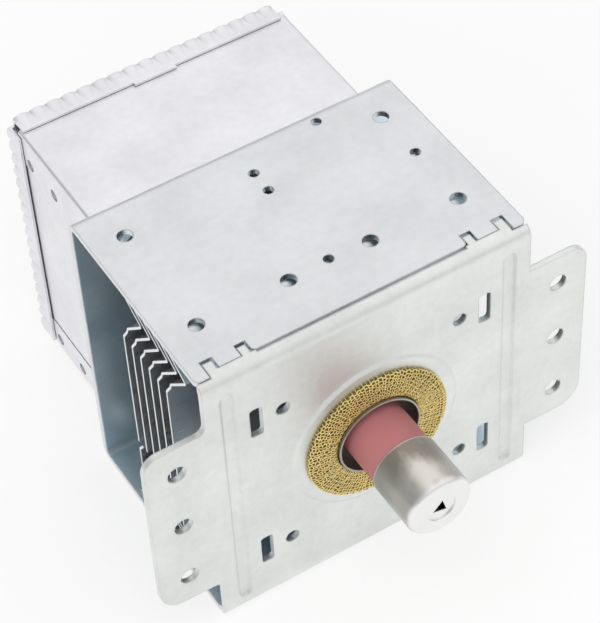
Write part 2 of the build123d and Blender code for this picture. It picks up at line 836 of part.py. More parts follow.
with BuildPart() as capacitor_case:
    with BuildSketch(Plane.YZ.offset(case_x)):
        with Locations((capacitor_y, 0)):
            RectangleRounded(case_width, case_height, case_corner)
        spade_slits(spade_gap, mode=Mode.SUBTRACT)
    extrude(amount=case_depth)
save(capacitor_case, "capacitor_case")

with BuildPart() as capacitor_flange:
    with BuildSketch(Plane.YZ.offset(wall_x)):
        with Locations((capacitor_y, 0)):
            RectangleRounded(capacitor_flange_width, capacitor_flange_height, case_corner)
        spade_slits(spade_margin, mode=Mode.SUBTRACT)
        with Locations((capacitor_y, -capacitor_rivet_z), (capacitor_y, capacitor_rivet_z)):
            Circle(capacitor_rivet_radius, mode=Mode.SUBTRACT)
    extrude(amount=capacitor_sheet)
save(capacitor_flange, "capacitor_flange")

with BuildPart() as connector_housing:
    with BuildSketch(Plane.YZ.offset(flange_x)):
        with Locations((capacitor_y, 0)):
            SlotOverall(housing_height, housing_width, rotation=90)
        spade_slits(spade_gap, mode=Mode.SUBTRACT)
    extrude(amount=housing_reach)
    with BuildSketch(Plane.YZ.offset(flange_x + housing_base)):
        with Locations((capacitor_y, 0)):
            SlotOverall(housing_height - 2 * housing_wall, housing_width - 2 * housing_wall, rotation=90)
    extrude(amount=housing_reach, mode=Mode.SUBTRACT)
save(connector_housing, "connector_housing")


def spade_terminal(z):
    """Flat spade that runs from the chokes' side of the case to the socket."""
    spade_tip = flange_x + spade_reach
    with BuildPart() as spade:
        with BuildSketch(Plane.XY.offset(z - spade_sheet / 2)) as outline:
            with Locations(((case_x - spade_tail + spade_tip) / 2, capacitor_y)):
                Rectangle(spade_tip - case_x + spade_tail, spade_width)
            chamfer(outline.vertices().group_by(Axis.X)[-1], length=spade_point)
            with Locations((spade_tip - spade_hole_back, capacitor_y)):
                Circle(spade_hole / 2, mode=Mode.SUBTRACT)
        extrude(amount=spade_sheet)
    return spade


save(spade_terminal(spade_z), "spade_terminal_upper")
save(spade_terminal(-spade_z), "spade_terminal_lower")

with BuildPart() as capacitor_rivets:
    for start, length, radius in (
        (wall_x - box_sheet - capacitor_rivet_height, capacitor_rivet_height, capacitor_rivet_head),
        (wall_x - box_sheet, box_sheet + capacitor_sheet, capacitor_rivet_radius),
        (flange_x, capacitor_rivet_height, capacitor_rivet_head),
    ):
        with BuildSketch(Plane.YZ.offset(start)):
            with Locations((capacitor_y, -capacitor_rivet_z), (capacitor_y, capacitor_rivet_z)):
                Circle(radius)
        extrude(amount=length)
save(capacitor_rivets, "capacitor_rivets")

# Chokes: each a coil of one wire on a ferrite rod, between a stem terminal and a spade
choke_length = choke_turns * choke_pitch
coil_plane = Plane(origin=(choke_start_x, choke_y, choke_axis_z), x_dir=(0, 0, -1), z_dir=(1, 0, 0))


def wire_run(*places):
    """Straight stretches of the choke's wire from place to place, rounded where they meet."""
    for start, end in zip(places, places[1:]):
        direction = Vector(*end) - Vector(*start)
        with BuildSketch(Plane(origin=start, z_dir=direction)) as wire:
            Circle(choke_wire)
        extrude(wire.sketch, amount=direction.length)
    with Locations(*places):
        Sphere(choke_wire)


def choke_coil(terminal_x):
    """Upper choke, from a stem terminal at terminal_x to the tail of its spade."""
    with BuildPart() as choke:
        with BuildLine() as turns:
            add(coil_plane * Helix(choke_pitch, choke_length, choke_radius, mode=Mode.PRIVATE))
        with BuildSketch(Plane(origin=turns.line @ 0, z_dir=turns.line % 0)):
            Circle(choke_wire)
        sweep(is_frenet=True)
        coil_start = turns.line @ 0
        coil_end = turns.line @ 1
        terminal_y = stem_end + terminal_sheet + choke_wire
        tail_z = spade_z + spade_sheet / 2 + choke_wire
        wire_run(
            tuple(coil_start),
            (choke_start_x, terminal_y + choke_drop, coil_start.Z),
            (terminal_x, terminal_y, choke_tie),
        )
        wire_run(
            tuple(coil_end),
            (coil_end.X, coil_end.Y, tail_z + choke_drop),
            (case_x - spade_tail / 2, capacitor_y, tail_z),
        )
    return choke


save(choke_coil(-choke_tie), "choke_coil_upper")

with BuildPart() as choke_coil_lower:
    mirror(choke_coil(side_lead_x + choke_tie_gap).part, about=Plane.XY)
save(choke_coil_lower, "choke_coil_lower")


def ferrite_rod(side):
    """Ferrite core of one choke, longer than its coil at both ends."""
    with BuildPart() as rod:
        with BuildSketch(Plane.YZ.offset(choke_start_x - ferrite_overhang)):
            with Locations((choke_y, side * choke_axis_z)):
                Circle(ferrite_radius)
        extrude(amount=choke_length + 2 * ferrite_overhang)
    return rod


save(ferrite_rod(1), "ferrite_rod_upper")
save(ferrite_rod(-1), "ferrite_rod_lower")
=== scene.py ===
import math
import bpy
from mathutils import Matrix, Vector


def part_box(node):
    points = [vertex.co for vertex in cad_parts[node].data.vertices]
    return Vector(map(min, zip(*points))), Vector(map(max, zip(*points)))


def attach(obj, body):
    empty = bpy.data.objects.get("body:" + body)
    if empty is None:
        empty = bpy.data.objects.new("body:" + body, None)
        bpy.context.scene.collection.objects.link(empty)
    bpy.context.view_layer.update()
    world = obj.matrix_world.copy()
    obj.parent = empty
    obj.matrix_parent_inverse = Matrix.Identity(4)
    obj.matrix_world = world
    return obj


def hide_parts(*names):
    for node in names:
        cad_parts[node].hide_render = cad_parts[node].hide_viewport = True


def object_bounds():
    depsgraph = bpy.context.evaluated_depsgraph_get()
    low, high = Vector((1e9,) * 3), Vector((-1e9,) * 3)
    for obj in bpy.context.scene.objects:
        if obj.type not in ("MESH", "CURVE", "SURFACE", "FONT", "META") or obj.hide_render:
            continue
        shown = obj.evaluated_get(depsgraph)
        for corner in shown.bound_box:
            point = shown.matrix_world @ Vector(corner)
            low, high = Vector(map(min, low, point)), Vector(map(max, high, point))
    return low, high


bl_info = {
    "name": "Magnetron finish",
    "version": (1, 0, 0),
    "blender": (4, 5, 0),
    "location": "View3D > Sidebar > Magnetron",
    "description": "Dresses the oven magnetron with plated sheet, knitted gasket, ceramic and cap",
    "category": "Object",
}

import bmesh
import bpy
from bpy.props import (
    FloatProperty,
    FloatVectorProperty,
    IntProperty,
    PointerProperty,
)
from mathutils import Quaternion, Vector, noise

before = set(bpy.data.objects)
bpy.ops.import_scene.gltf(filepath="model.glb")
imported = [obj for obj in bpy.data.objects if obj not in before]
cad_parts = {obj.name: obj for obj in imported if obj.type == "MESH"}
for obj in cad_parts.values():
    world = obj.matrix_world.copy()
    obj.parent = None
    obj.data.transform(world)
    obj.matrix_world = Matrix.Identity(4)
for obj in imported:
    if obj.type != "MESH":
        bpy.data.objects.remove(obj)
CAD_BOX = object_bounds()
MM = 0.001
BODY = "root"

# Hollow of the yoke, with its bluish painted shade: the skin that keeps the outer plating, and the
# sheared rim at its open sides.
YOKE_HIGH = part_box("yoke_channel")[1]
HOLLOW_SKIN = 1.2 * MM
SHEARED_EDGE = 0.05 * MM

# Grooves in which the plate's flanges meet the yoke: from front to back, half their length,
# how deep their foot lies under the yoke's face, and the steps over their rolled floor.
JOINT_FRONT = 2.5 * MM
JOINT_BACK = 3.5 * MM
JOINT_HALF_LENGTH = 25.45 * MM
JOINT_FOOT = 1.5 * MM
JOINT_STEPS = 8

# Noise: range in which most of its values lie, scales in features per metre, and stretches,
# of which a low share draws the features out along that axis.
NOISE_LOW = 0.3
NOISE_HIGH = 0.7
EVEN = (1.0, 1.0, 1.0)
ALONG_X = (0.12, 1.0, 1.0)
ALONG_Z = (1.0, 1.0, 0.12)
DRAWN_X = (0.1, 1.0, 1.0)
CLOUD_SCALE = 70.0
SPANGLE_SCALE = 520.0
ROLLING_SCALE = 900.0
METAL_TONE_SCALE = 120.0
METAL_GRAIN_SCALE = 1500.0
MATTE_TONE_SCALE = 160.0
MATTE_SPECK_SCALE = 2200.0

# Plated sheet: brightness of its clouds, streaks and spangle, and how far the clouds dull it.
CLOUD_TONE = (0.955, 1.02)
ROLLING_TONE = 0.008
SPANGLE_TONE = 0.025
DARK_CLOUD_DULLING = 0.07
BRIGHT_CLOUD_DULLING = -0.05

# Bare metal: brightness, and how far its roughness varies about the named one.
METAL_TONE = (0.9, 1.05)
METAL_SMOOTHER = -0.06
METAL_ROUGHER = 0.08

# Antenna cap: places along Y of its stain, bright end and painted highlight on the rim, places
# across X of the painted shade on its flanks, and how strong each is there.
CAP_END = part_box("antenna_cap")[0].y
CAP_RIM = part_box("antenna_cap")[1].y
STAIN_PLACE = (CAP_END + 5.5 * MM, CAP_END + 11.0 * MM)
STAIN_STRENGTH = 1.2
STAIN_MOTTLE = 0.5
# Painted shade, darker towards the cap's left and right flanks.
LEFT_FLANK_PLACE = (-6.5 * MM, -3.0 * MM)
LEFT_FLANK_SHADE = 0.75
RIGHT_FLANK_PLACE = (0.5 * MM, 5.0 * MM)
RIGHT_FLANK_SHADE = 0.6
BRIGHT_END_PLACE = (CAP_END + 0.5 * MM, CAP_END + 1.3 * MM)
# Painted highlight along the rim.
RIM_HIGHLIGHT_PLACE = (CAP_RIM - 0.35 * MM, CAP_RIM - 0.2 * MM)
RIM_HIGHLIGHT_STRENGTH = 0.55
CAP_ROUGHNESS = (0.30, 0.42)
CAP_MOTTLE_SCALE = 260.0
CAP_MOTTLE_STRETCH = (1.0, 0.5, 1.0)
CAP_BRUSH_SCALE = 2400.0
CAP_BRUSH_STRETCH = (1.0, 0.02, 1.0)
CAP_BRUSH_HEIGHT = 0.003 * MM

# Knitted gasket: radii and depths of the ring, and how square its back is.
GASKET_LOW, GASKET_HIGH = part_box("rf_gasket")
GASKET_OUTER = GASKET_HIGH.x - 0.5 * MM
GASKET_INNER = GASKET_HIGH.x - 7.8 * MM
GASKET_FOOT = GASKET_HIGH.y
GASKET_CROWN = GASKET_LOW.y + 0.7 * MM
GASKET_SQUARE = 0.24
PROFILE_STEPS = 240
NO_LENGTH = 1e-12

# Its loops: reach in rows, curl in loops, lift in wire radii, and the painted-shade core's depth
# under them.
LOOP_REACH = 0.62
LOOP_CURL = 0.11
LOOP_LIFT = 0.6
WIRE_SIDES = 6
CORE_DROP = 0.5 * MM
CORE_STEPS_PER_ROW = 2
CORE_SLOT = 1

# How far the wire is pulled out of line, over what span, the share of the back at each foot
# within which the seat holds it in line, and the seed that makes each run pull it alike.
SLACK = 0.5 * MM
SLACK_SPAN = 1.6 * MM
FOOT_HOLD = 0.22
KNIT_SEED = 11

# Studio: half the floor's width, where the lamp aims, and where the darker walls end in the
# reflections, as directions along X and Z.
FLOOR_HALF = 3.0
LAMP_AIM = (0.0, 0.03, 0.0)
WALL_END_X = (-0.62, -0.08)
WALL_END_Z = (0.1, 0.5)
CAMERA_CLIP = 10.0 * MM


def colour_property(name, description, default):
    """Colour of a finish, in linear light."""
    return FloatVectorProperty(
        name=name,
        description=description,
        subtype="COLOR",
        size=3,
        min=0.0,
        max=1.0,
        default=default,
    )


def length_property(name, description, default):
    """Length in metres, shown with its unit."""
    return FloatProperty(
        name=name,
        description=description,
        unit="LENGTH",
        subtype="DISTANCE",
        min=0.0,
        default=default,
        precision=6,
    )


def share_property(name, description, default):
    """Number from 0 to 1."""
    return FloatProperty(
        name=name,
        description=description,
        subtype="FACTOR",
        min=0.0,
        max=1.0,
        default=default,
    )


def count_property(name, description, default, least):
    """Whole number with a least value."""
    return IntProperty(name=name, description=description, default=default, min=least)


class MAGNETRON_PG_sheets(bpy.types.PropertyGroup):
    """Finish of the plated sheets: yoke, mounting plate and filter box."""

    yoke_colour: colour_property("Yoke", "Zinc plating of the yoke", (0.76, 0.77, 0.79))
    plate_colour: colour_property(
        "Mounting plate", "Zinc plating of the mounting plate", (0.83, 0.85, 0.83)
    )
    # Painted shade: a bluish tint inside the yoke that stands in for the shade in the hollow.
    painted_inside_shade: colour_property("Inside", "Bluish plating inside the yoke", (0.78, 0.92, 1.0))
    box_colour: colour_property(
        "Filter box", "Brighter plating of the filter box", (0.84, 0.84, 0.87)
    )
    roughness: share_property(
        "Roughness", "How dull the plating of the yoke and the filter box is", 0.34
    )
    plate_roughness: share_property(
        "Plate roughness", "How dull the plating of the mounting plate is", 0.48
    )
    inside_dulling: share_property(
        "Inside dulling", "How much duller the plating inside the yoke is", 0.07
    )
    yoke_edge_round: length_property(
        "Yoke edges", "Rounding of the yoke's sheared edges", 0.5 * MM
    )
    plate_edge_round: length_property(
        "Plate edges", "Rounding of the mounting plate's pressed edges", 0.6 * MM
    )
    box_edge_round: length_property(
        "Box edges", "Rounding of the filter box's sheared edges", 0.2 * MM
    )
    grain: length_property("Grain", "Height of the rolling grain", 0.003 * MM)
    joint_depth: length_property(
        "Joint depth", "Depth of the groove between plate flange and yoke", 0.8 * MM
    )
    joint_dip: length_property("Joint dip", "Hollow of the groove's floor", 0.15 * MM)


class MAGNETRON_PG_tube(bpy.types.PropertyGroup):
    """Finish of the tube: ceramic, seals, cap, anode, fins, magnets and cathode."""

    ceramic_colour: colour_property("Ceramic", "Fired pink alumina", (0.485, 0.175, 0.185))
    cap_colour: colour_property("Cap side", "Steel of the antenna cap's side", (0.84, 0.80, 0.75))
    cap_stain: colour_property(
        "Cap stain", "Brown heat stain next to the ceramic", (0.38, 0.33, 0.285)
    )
    # Painted shade on the cap's left and right flanks.
    cap_flank_shade: colour_property(
        "Cap flanks", "Tarnish along the flanks of the antenna cap", (0.43, 0.425, 0.39)
    )
    cap_end_colour: colour_property(
        "Cap end", "Bright pressed end of the antenna cap", (0.90, 0.90, 0.89)
    )
    seal_colour: colour_property("Seal", "Nickel iron of the seal cups", (0.44, 0.42, 0.38))
    fin_colour: colour_property("Fins", "Mill-finished aluminium", (0.80, 0.82, 0.84))
    copper_colour: colour_property("Copper", "Bare copper of the anode", (0.80, 0.42, 0.28))
    magnet_colour: colour_property("Magnets", "Ground black ferrite", (0.020, 0.024, 0.030))
    iron_colour: colour_property("Pole pieces", "Bare iron", (0.42, 0.41, 0.40))
    tungsten_colour: colour_property("Cathode", "Drawn tungsten", (0.32, 0.32, 0.34))


class MAGNETRON_PG_filter(bpy.types.PropertyGroup):
    """Finish of the filter parts: chokes, capacitor and connector."""

    enamel_colour: colour_property("Enamel", "Enamelled wire of the chokes", (0.62, 0.24, 0.10))
    resin_colour: colour_property("Resin", "Cast case of the capacitor", (0.30, 0.13, 0.06))
    plastic_colour: colour_property("Plastic", "Connector housing", (0.83, 0.82, 0.79))
    tin_colour: colour_property("Tin", "Tinned spade terminals", (0.80, 0.79, 0.77))


class MAGNETRON_PG_gasket(bpy.types.PropertyGroup):
    """Knitted wire of the gasket round the antenna."""

    wire_colour: colour_property("Wire", "Brass wire", (0.96, 0.79, 0.335))
    # Painted shade: the core's dark brass stands in for the shaded wire deeper in the ring.
    core_shade_colour: colour_property("Core", "Shadowed wire deeper in the ring", (0.20, 0.128, 0.022))
    wire_radius: length_property("Wire radius", "Radius of the knitting wire", 0.15 * MM)
    wales: count_property("Wales", "Loops round the ring", 60, 12)
    courses: count_property("Courses", "Rows of loops over the ring", 10, 3)
    loop_steps: count_property("Loop steps", "Straight steps in one loop", 14, 6)


class MAGNETRON_PG_stage(bpy.types.PropertyGroup):
    """Floor, lights and the view of the photograph."""

    floor_colour: colour_property("Floor", "Plain pale floor", (0.92, 0.92, 0.92))
    floor_glow: share_property(
        "Floor glow", "How far the floor's own white lightens the shadow on it", 0.66
    )
    world_strength: share_property("World", "Strength of the all-round light", 0.72)
    horizon: share_property("Horizon", "Brightness of the studio's walls in reflections", 0.5)
    key_power: FloatProperty(
        name="Key", description="Power of the large soft lamp", unit="POWER", default=9.0, min=0.0
    )
    key_size: length_property("Key size", "Width of the large soft lamp", 1.3)
    key_place: FloatVectorProperty(
        name="Key place",
        description="Where the large soft lamp hangs",
        unit="LENGTH",
        subtype="TRANSLATION",
        size=3,
        default=(-0.5, -0.5, 1.0),
    )
    camera_place: FloatVectorProperty(
        name="Camera place",
        description="Where the camera stands",
        unit="LENGTH",
        subtype="TRANSLATION",
        size=3,
        default=(-0.17451, -0.28603, 0.41231),
    )
    camera_aim: FloatVectorProperty(
        name="Camera aim",
        description="Direction in which the camera looks",
        subtype="DIRECTION",
        size=3,
        default=(0.32210, 0.58475, -0.74452),
    )
    camera_roll: FloatProperty(
        name="Camera roll",
        description="Tilt about the line of sight",
        subtype="ANGLE",
        default=math.radians(-3.74),
    )
    camera_lens: FloatProperty(
        name="Camera lens",
        description="Focal length for a 36 mm sensor",
        unit="CAMERA",
        default=142.45,
    )
    shift_x: FloatProperty(name="Shift X", description="Sideways framing shift", default=0.0031)
    shift_y: FloatProperty(name="Shift Y", description="Upright framing shift", default=0.0016)


def make_material(name):
    """New material with its node tree and shader."""
    material = bpy.data.materials.new(name)
    material.use_nodes = True
    tree = material.node_tree
    return material, tree, tree.nodes["Principled BSDF"]


def add_node(tree, kind, **values):
    """New node with its settings and unlinked inputs filled in."""
    node = tree.nodes.new(kind)
    for key, value in values.items():
        if hasattr(node, key):
            setattr(node, key, value)
        else:
            node.inputs[key.replace("_", " ")].default_value = value
    return node


def feed(tree, value, socket):
    """Links another node's output to a socket, or sets a plain value there."""
    if isinstance(value, bpy.types.NodeSocket):
        tree.links.new(value, socket)
    else:
        socket.default_value = value


def combine(tree, operation, *parts, clamp=False):
    """Sum, product or comparison of node outputs and plain numbers."""
    node = add_node(tree, "ShaderNodeMath", operation=operation, use_clamp=clamp)
    for part, socket in zip(parts, node.inputs):
        feed(tree, part, socket)
    return node.outputs[0]


def remap(tree, source, low, high, start=NOISE_LOW, end=NOISE_HIGH, curve="LINEAR"):
    """Spreads the values from start to end over the range from low to high."""
    node = add_node(tree, "ShaderNodeMapRange", interpolation_type=curve)
    for socket, value in (
        ("Value", source),
        ("From Min", start),
        ("From Max", end),
        ("To Min", low),
        ("To Max", high),
    ):
        feed(tree, value, node.inputs[socket])
    return node.outputs["Result"]


def own_axes(tree):
    """The object's own X, Y and Z."""
    place = add_node(tree, "ShaderNodeTexCoord")
    split = add_node(tree, "ShaderNodeSeparateXYZ")
    tree.links.new(place.outputs["Object"], split.inputs[0])
    return split.outputs


def stretched_noise(tree, scale, stretch, detail=3.0):
    """Noise over the object's own coordinates, drawn out along the low axes of stretch."""
    place = add_node(tree, "ShaderNodeTexCoord")
    mapping = add_node(tree, "ShaderNodeMapping")
    mapping.inputs["Scale"].default_value = stretch
    texture = add_node(tree, "ShaderNodeTexNoise", Scale=scale, Detail=detail)
    tree.links.new(place.outputs["Object"], mapping.inputs["Vector"])
    tree.links.new(mapping.outputs["Vector"], texture.inputs["Vector"])
    return texture.outputs["Fac"]


def shade(tree, colour, factor):
    """Colour multiplied by a varying brightness."""
    node = add_node(tree, "ShaderNodeVectorMath", operation="SCALE")
    node.inputs[0].default_value = colour
    tree.links.new(factor, node.inputs["Scale"])
    return node.outputs["Vector"]


def blend(tree, factor, first, second):
    """Colour that passes from the first to the second as the factor rises to 1."""
    node = add_node(tree, "ShaderNodeMix", data_type="RGBA")
    tree.links.new(factor, node.inputs["Factor"])
    for name, value in (("A", first), ("B", second)):
        socket = next(entry for entry in node.inputs if entry.name == name and entry.type == "RGBA")
        plain = not isinstance(value, bpy.types.NodeSocket)
        feed(tree, (*value, 1.0) if plain else value, socket)
    return next(entry for entry in node.outputs if entry.type == "RGBA")


def bump(tree, shader, height, distance, edge_round=0.0):
    """Bump of a real height in metres on the shader's normal, over softly rounded edges."""
    node = add_node(tree, "ShaderNodeBump", Distance=distance)
    tree.links.new(height, node.inputs["Height"])
    if edge_round:
        edge = add_node(tree, "ShaderNodeBevel", Radius=edge_round)
        tree.links.new(edge.outputs["Normal"], node.inputs["Normal"])
    tree.links.new(node.outputs["Normal"], shader.inputs["Normal"])


def hollow_mask(tree):
    """1 on the faces inside the yoke's hollow and 0 on all others."""
    axes = own_axes(tree)
    sideways = combine(tree, "ABSOLUTE", axes["X"])
    upright = combine(tree, "ABSOLUTE", axes["Z"])
    inside = combine(tree, "LESS_THAN", sideways, YOKE_HIGH.x - SHEARED_EDGE)
    for value, test, limit in (
        (upright, "LESS_THAN", YOKE_HIGH.z - HOLLOW_SKIN),
        (axes["Y"], "LESS_THAN", YOKE_HIGH.y - HOLLOW_SKIN),
        (axes["Y"], "GREATER_THAN", HOLLOW_SKIN),
    ):
        inside = combine(tree, "MULTIPLY", inside, combine(tree, test, value, limit))
    return inside


def plated_sheet(name, colour, roughness, sheets, along, edge_round, painted_inside_shade=None):
    """Zinc-plated sheet: cloudy, spangled plating over the rolling grain, duller and painted with a
    bluish shade in the hollow.
    """
    material, tree, shader = make_material(name)
    shader.inputs["Metallic"].default_value = 1.0
    clouds = stretched_noise(tree, CLOUD_SCALE, EVEN, detail=4.0)
    rolling = stretched_noise(tree, ROLLING_SCALE, along, detail=2.0)
    spangle = stretched_noise(tree, SPANGLE_SCALE, EVEN)
    cloudy = remap(tree, clouds, *CLOUD_TONE)
    streaked = combine(tree, "ADD", cloudy, remap(tree, rolling, -ROLLING_TONE, ROLLING_TONE))
    tone = combine(tree, "ADD", streaked, remap(tree, spangle, -SPANGLE_TONE, SPANGLE_TONE))
    plating = shade(tree, colour, tone)
    dull = remap(tree, clouds, roughness + DARK_CLOUD_DULLING, roughness + BRIGHT_CLOUD_DULLING)
    if painted_inside_shade:
        hollow = hollow_mask(tree)
        # Inside the hollow the plating's colour gives way to the bluish painted shade.
        plating = blend(tree, hollow, plating, shade(tree, painted_inside_shade, tone))
        dull = combine(tree, "MULTIPLY_ADD", hollow, sheets.inside_dulling, dull)
    tree.links.new(plating, shader.inputs["Base Color"])
    tree.links.new(dull, shader.inputs["Roughness"])
    bump(tree, shader, rolling, sheets.grain, edge_round)
    return material


def stained_and_shaded_cap(tube):
    """Drawn cap: bright pressed end, brushed side with stains, painted shade on its flanks and a
    painted highlight on its rim.
    """
    material, tree, shader = make_material("cap_steel")
    shader.inputs["Metallic"].default_value = 1.0
    axes = own_axes(tree)
    across, along = axes["X"], axes["Y"]
    mottle = stretched_noise(tree, CAP_MOTTLE_SCALE, CAP_MOTTLE_STRETCH, detail=4.0)
    brushed = stretched_noise(tree, CAP_BRUSH_SCALE, CAP_BRUSH_STRETCH, detail=2.0)
    heat = remap(tree, along, 0.0, STAIN_STRENGTH, *STAIN_PLACE)
    uneven = remap(tree, mottle, -STAIN_MOTTLE, STAIN_MOTTLE)
    stain = combine(tree, "ADD", heat, uneven, clamp=True)
    stained = blend(tree, stain, tube.cap_colour, tube.cap_stain)
    # Painted shade on the left and right flanks.
    left = remap(tree, across, LEFT_FLANK_SHADE, 0.0, *LEFT_FLANK_PLACE)
    right = remap(tree, across, 0.0, RIGHT_FLANK_SHADE, *RIGHT_FLANK_PLACE)
    side = blend(tree, combine(tree, "ADD", left, right), stained, tube.cap_flank_shade)
    end = remap(tree, along, 1.0, 0.0, *BRIGHT_END_PLACE)
    # Painted highlight in a thin band along the rim.
    rim = remap(tree, along, 0.0, RIM_HIGHLIGHT_STRENGTH, *RIM_HIGHLIGHT_PLACE)
    colour = blend(tree, combine(tree, "MAXIMUM", end, rim), side, tube.cap_end_colour)
    tree.links.new(colour, shader.inputs["Base Color"])
    tree.links.new(remap(tree, mottle, *CAP_ROUGHNESS), shader.inputs["Roughness"])
    bump(tree, shader, brushed, CAP_BRUSH_HEIGHT)
    return material


def bare_metal(name, colour, roughness, grain=0.002 * MM, stretch=EVEN):
    """Plain metal with a fine grain and slightly uneven tone."""
    material, tree, shader = make_material(name)
    shader.inputs["Metallic"].default_value = 1.0
    fine = stretched_noise(tree, METAL_GRAIN_SCALE, stretch)
    broad = stretched_noise(tree, METAL_TONE_SCALE, EVEN)
    tone = shade(tree, colour, remap(tree, broad, *METAL_TONE))
    tree.links.new(tone, shader.inputs["Base Color"])
    dull = remap(tree, fine, roughness + METAL_SMOOTHER, roughness + METAL_ROUGHER)
    tree.links.new(dull, shader.inputs["Roughness"])
    bump(tree, shader, fine, grain)
    return material


def matte_solid(name, colour, roughness, grain=0.01 * MM, speck=0.06):
    """Matte ceramic, ferrite or plastic with fine specks."""
    material, tree, shader = make_material(name)
    fine = stretched_noise(tree, MATTE_SPECK_SCALE, EVEN)
    broad = stretched_noise(tree, MATTE_TONE_SCALE, EVEN)
    cloudy = remap(tree, broad, 1.0 - speck, 1.0 + speck / 2)
    tone = combine(tree, "ADD", cloudy, remap(tree, fine, -speck / 2, speck / 2))
    tree.links.new(shade(tree, colour, tone), shader.inputs["Base Color"])
    shader.inputs["Roughness"].default_value = roughness
    bump(tree, shader, fine, grain)
    return material


def dress(node, material):
    """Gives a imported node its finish."""
    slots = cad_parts[node].data.materials
    slots.clear()
    slots.append(material)


def link_piece(name, mesh, materials):
    """New object of a finished mesh that rides on the body."""
    for material in materials:
        mesh.materials.append(material)
    piece = bpy.data.objects.new(name, mesh)
    bpy.context.scene.collection.objects.link(piece)
    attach(piece, BODY)
    return piece


class MAGNETRON_OT_sheets(bpy.types.Operator):
    """Plate the yoke, the mounting plate and the filter box"""

    bl_idname = "magnetron.sheets"
    bl_label = "Plated sheets"

    def execute(self, context):
        sheets = context.scene.magnetron_sheets
        yoke = plated_sheet(
            "yoke_plating_and_inside_shade",
            sheets.yoke_colour,
            sheets.roughness,
            sheets,
            ALONG_X,
            sheets.yoke_edge_round,
            sheets.painted_inside_shade,
        )
        plate = plated_sheet(
            "plate_plating_and_inside_shade",
            sheets.plate_colour,
            sheets.plate_roughness,
            sheets,
            ALONG_Z,
            sheets.plate_edge_round,
            sheets.painted_inside_shade,
        )
        box = plated_sheet(
            "box_plating",
            sheets.box_colour,
            sheets.roughness,
            sheets,
            ALONG_X,
            sheets.box_edge_round,
        )
        dress("yoke_channel", yoke)
        dress("mounting_plate", plate)
        self.close_joints(sheets, yoke)
        for node in (
            "filter_box",
            "filter_box_cover",
            "filter_box_rivets",
            "capacitor_flange",
            "capacitor_rivets",
        ):
            dress(node, box)
        return {"FINISHED"}

    def close_joints(self, sheets, material):
        """Rolled floor of the two grooves in which the plate's flanges meet the yoke."""
        shape = bmesh.new()
        middle = (JOINT_FRONT + JOINT_BACK) / 2
        for side in (1.0, -1.0):
            section = []
            for step in range(JOINT_STEPS + 1):
                across = 2.0 * step / JOINT_STEPS - 1.0
                place = middle + across * (JOINT_BACK - JOINT_FRONT) / 2
                depth = sheets.joint_depth + sheets.joint_dip * (1.0 - across**2)
                section.append((place, side * (YOKE_HIGH.z - depth)))
            section.append((JOINT_BACK, side * (YOKE_HIGH.z - JOINT_FOOT)))
            section.append((JOINT_FRONT, side * (YOKE_HIGH.z - JOINT_FOOT)))
            ends = []
            for end in (-JOINT_HALF_LENGTH, JOINT_HALF_LENGTH):
                ends.append([shape.verts.new((end, y, z)) for y, z in section])
                shape.faces.new(ends[-1])
            left, right = ends
            for number in range(len(section)):
                beside = (number + 1) % len(section)
                shape.faces.new((left[number], left[beside], right[beside], right[number]))
        bmesh.ops.recalc_face_normals(shape, faces=shape.faces)
        mesh = bpy.data.meshes.new("flange_joint")
        shape.to_mesh(mesh)
        shape.free()
        link_piece("flange_joint", mesh, [material])


class MAGNETRON_OT_fins(bpy.types.Operator):
    """Finish the cooling fins and the anode between them"""

    bl_idname = "magnetron.fins"
    bl_label = "Fins and anode"

    def execute(self, context):
        tube = context.scene.magnetron_tube
        fins = bare_metal("fin_aluminium", tube.fin_colour, roughness=0.32, stretch=DRAWN_X)
        copper = bare_metal("anode_copper", tube.copper_colour, roughness=0.4)
        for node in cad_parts:
            if node.startswith("cooling_fin_"):
                dress(node, fins)
            elif node.startswith(("anode_", "strap_", "antenna_lead", "exhaust_tube")):
                dress(node, copper)
        return {"FINISHED"}


class MAGNETRON_OT_magnets(bpy.types.Operator):
    """Finish the magnets, the pole pieces and the cathode"""

    bl_idname = "magnetron.magnets"
    bl_label = "Magnets and cathode"

    def execute(self, context):
        tube = context.scene.magnetron_tube
        ferrite = matte_solid("magnet_ferrite", tube.magnet_colour, roughness=0.55, speck=0.3)
        iron = bare_metal("pole_iron", tube.iron_colour, roughness=0.4)
        tungsten = bare_metal("cathode_tungsten", tube.tungsten_colour, roughness=0.35)
        for node in ("magnet_front", "magnet_rear", "ferrite_rod_upper", "ferrite_rod_lower"):
            dress(node, ferrite)
        for node in ("pole_piece_front", "pole_piece_rear"):
            dress(node, iron)
        for node in (
            "cathode_filament",
            "end_shield_front",
            "end_shield_rear",
            "centre_lead",
            "side_lead",
        ):
            dress(node, tungsten)
        return {"FINISHED"}


class MAGNETRON_OT_output(bpy.types.Operator):
    """Finish the antenna cap, the ceramics and the seals"""

    bl_idname = "magnetron.output"
    bl_label = "Output end and stem"

    def execute(self, context):
        tube = context.scene.magnetron_tube
        ceramic = matte_solid("pink_alumina", tube.ceramic_colour, roughness=0.5, speck=0.05)
        seal = bare_metal("seal_nickel", tube.seal_colour, roughness=0.35)
        for node in ("output_ceramic", "stem_ceramic"):
            dress(node, ceramic)
        dress("antenna_cap", stained_and_shaded_cap(tube))
        for node in ("output_seal", "stem_seal", "stem_terminal_centre", "stem_terminal_side"):
            dress(node, seal)
        return {"FINISHED"}


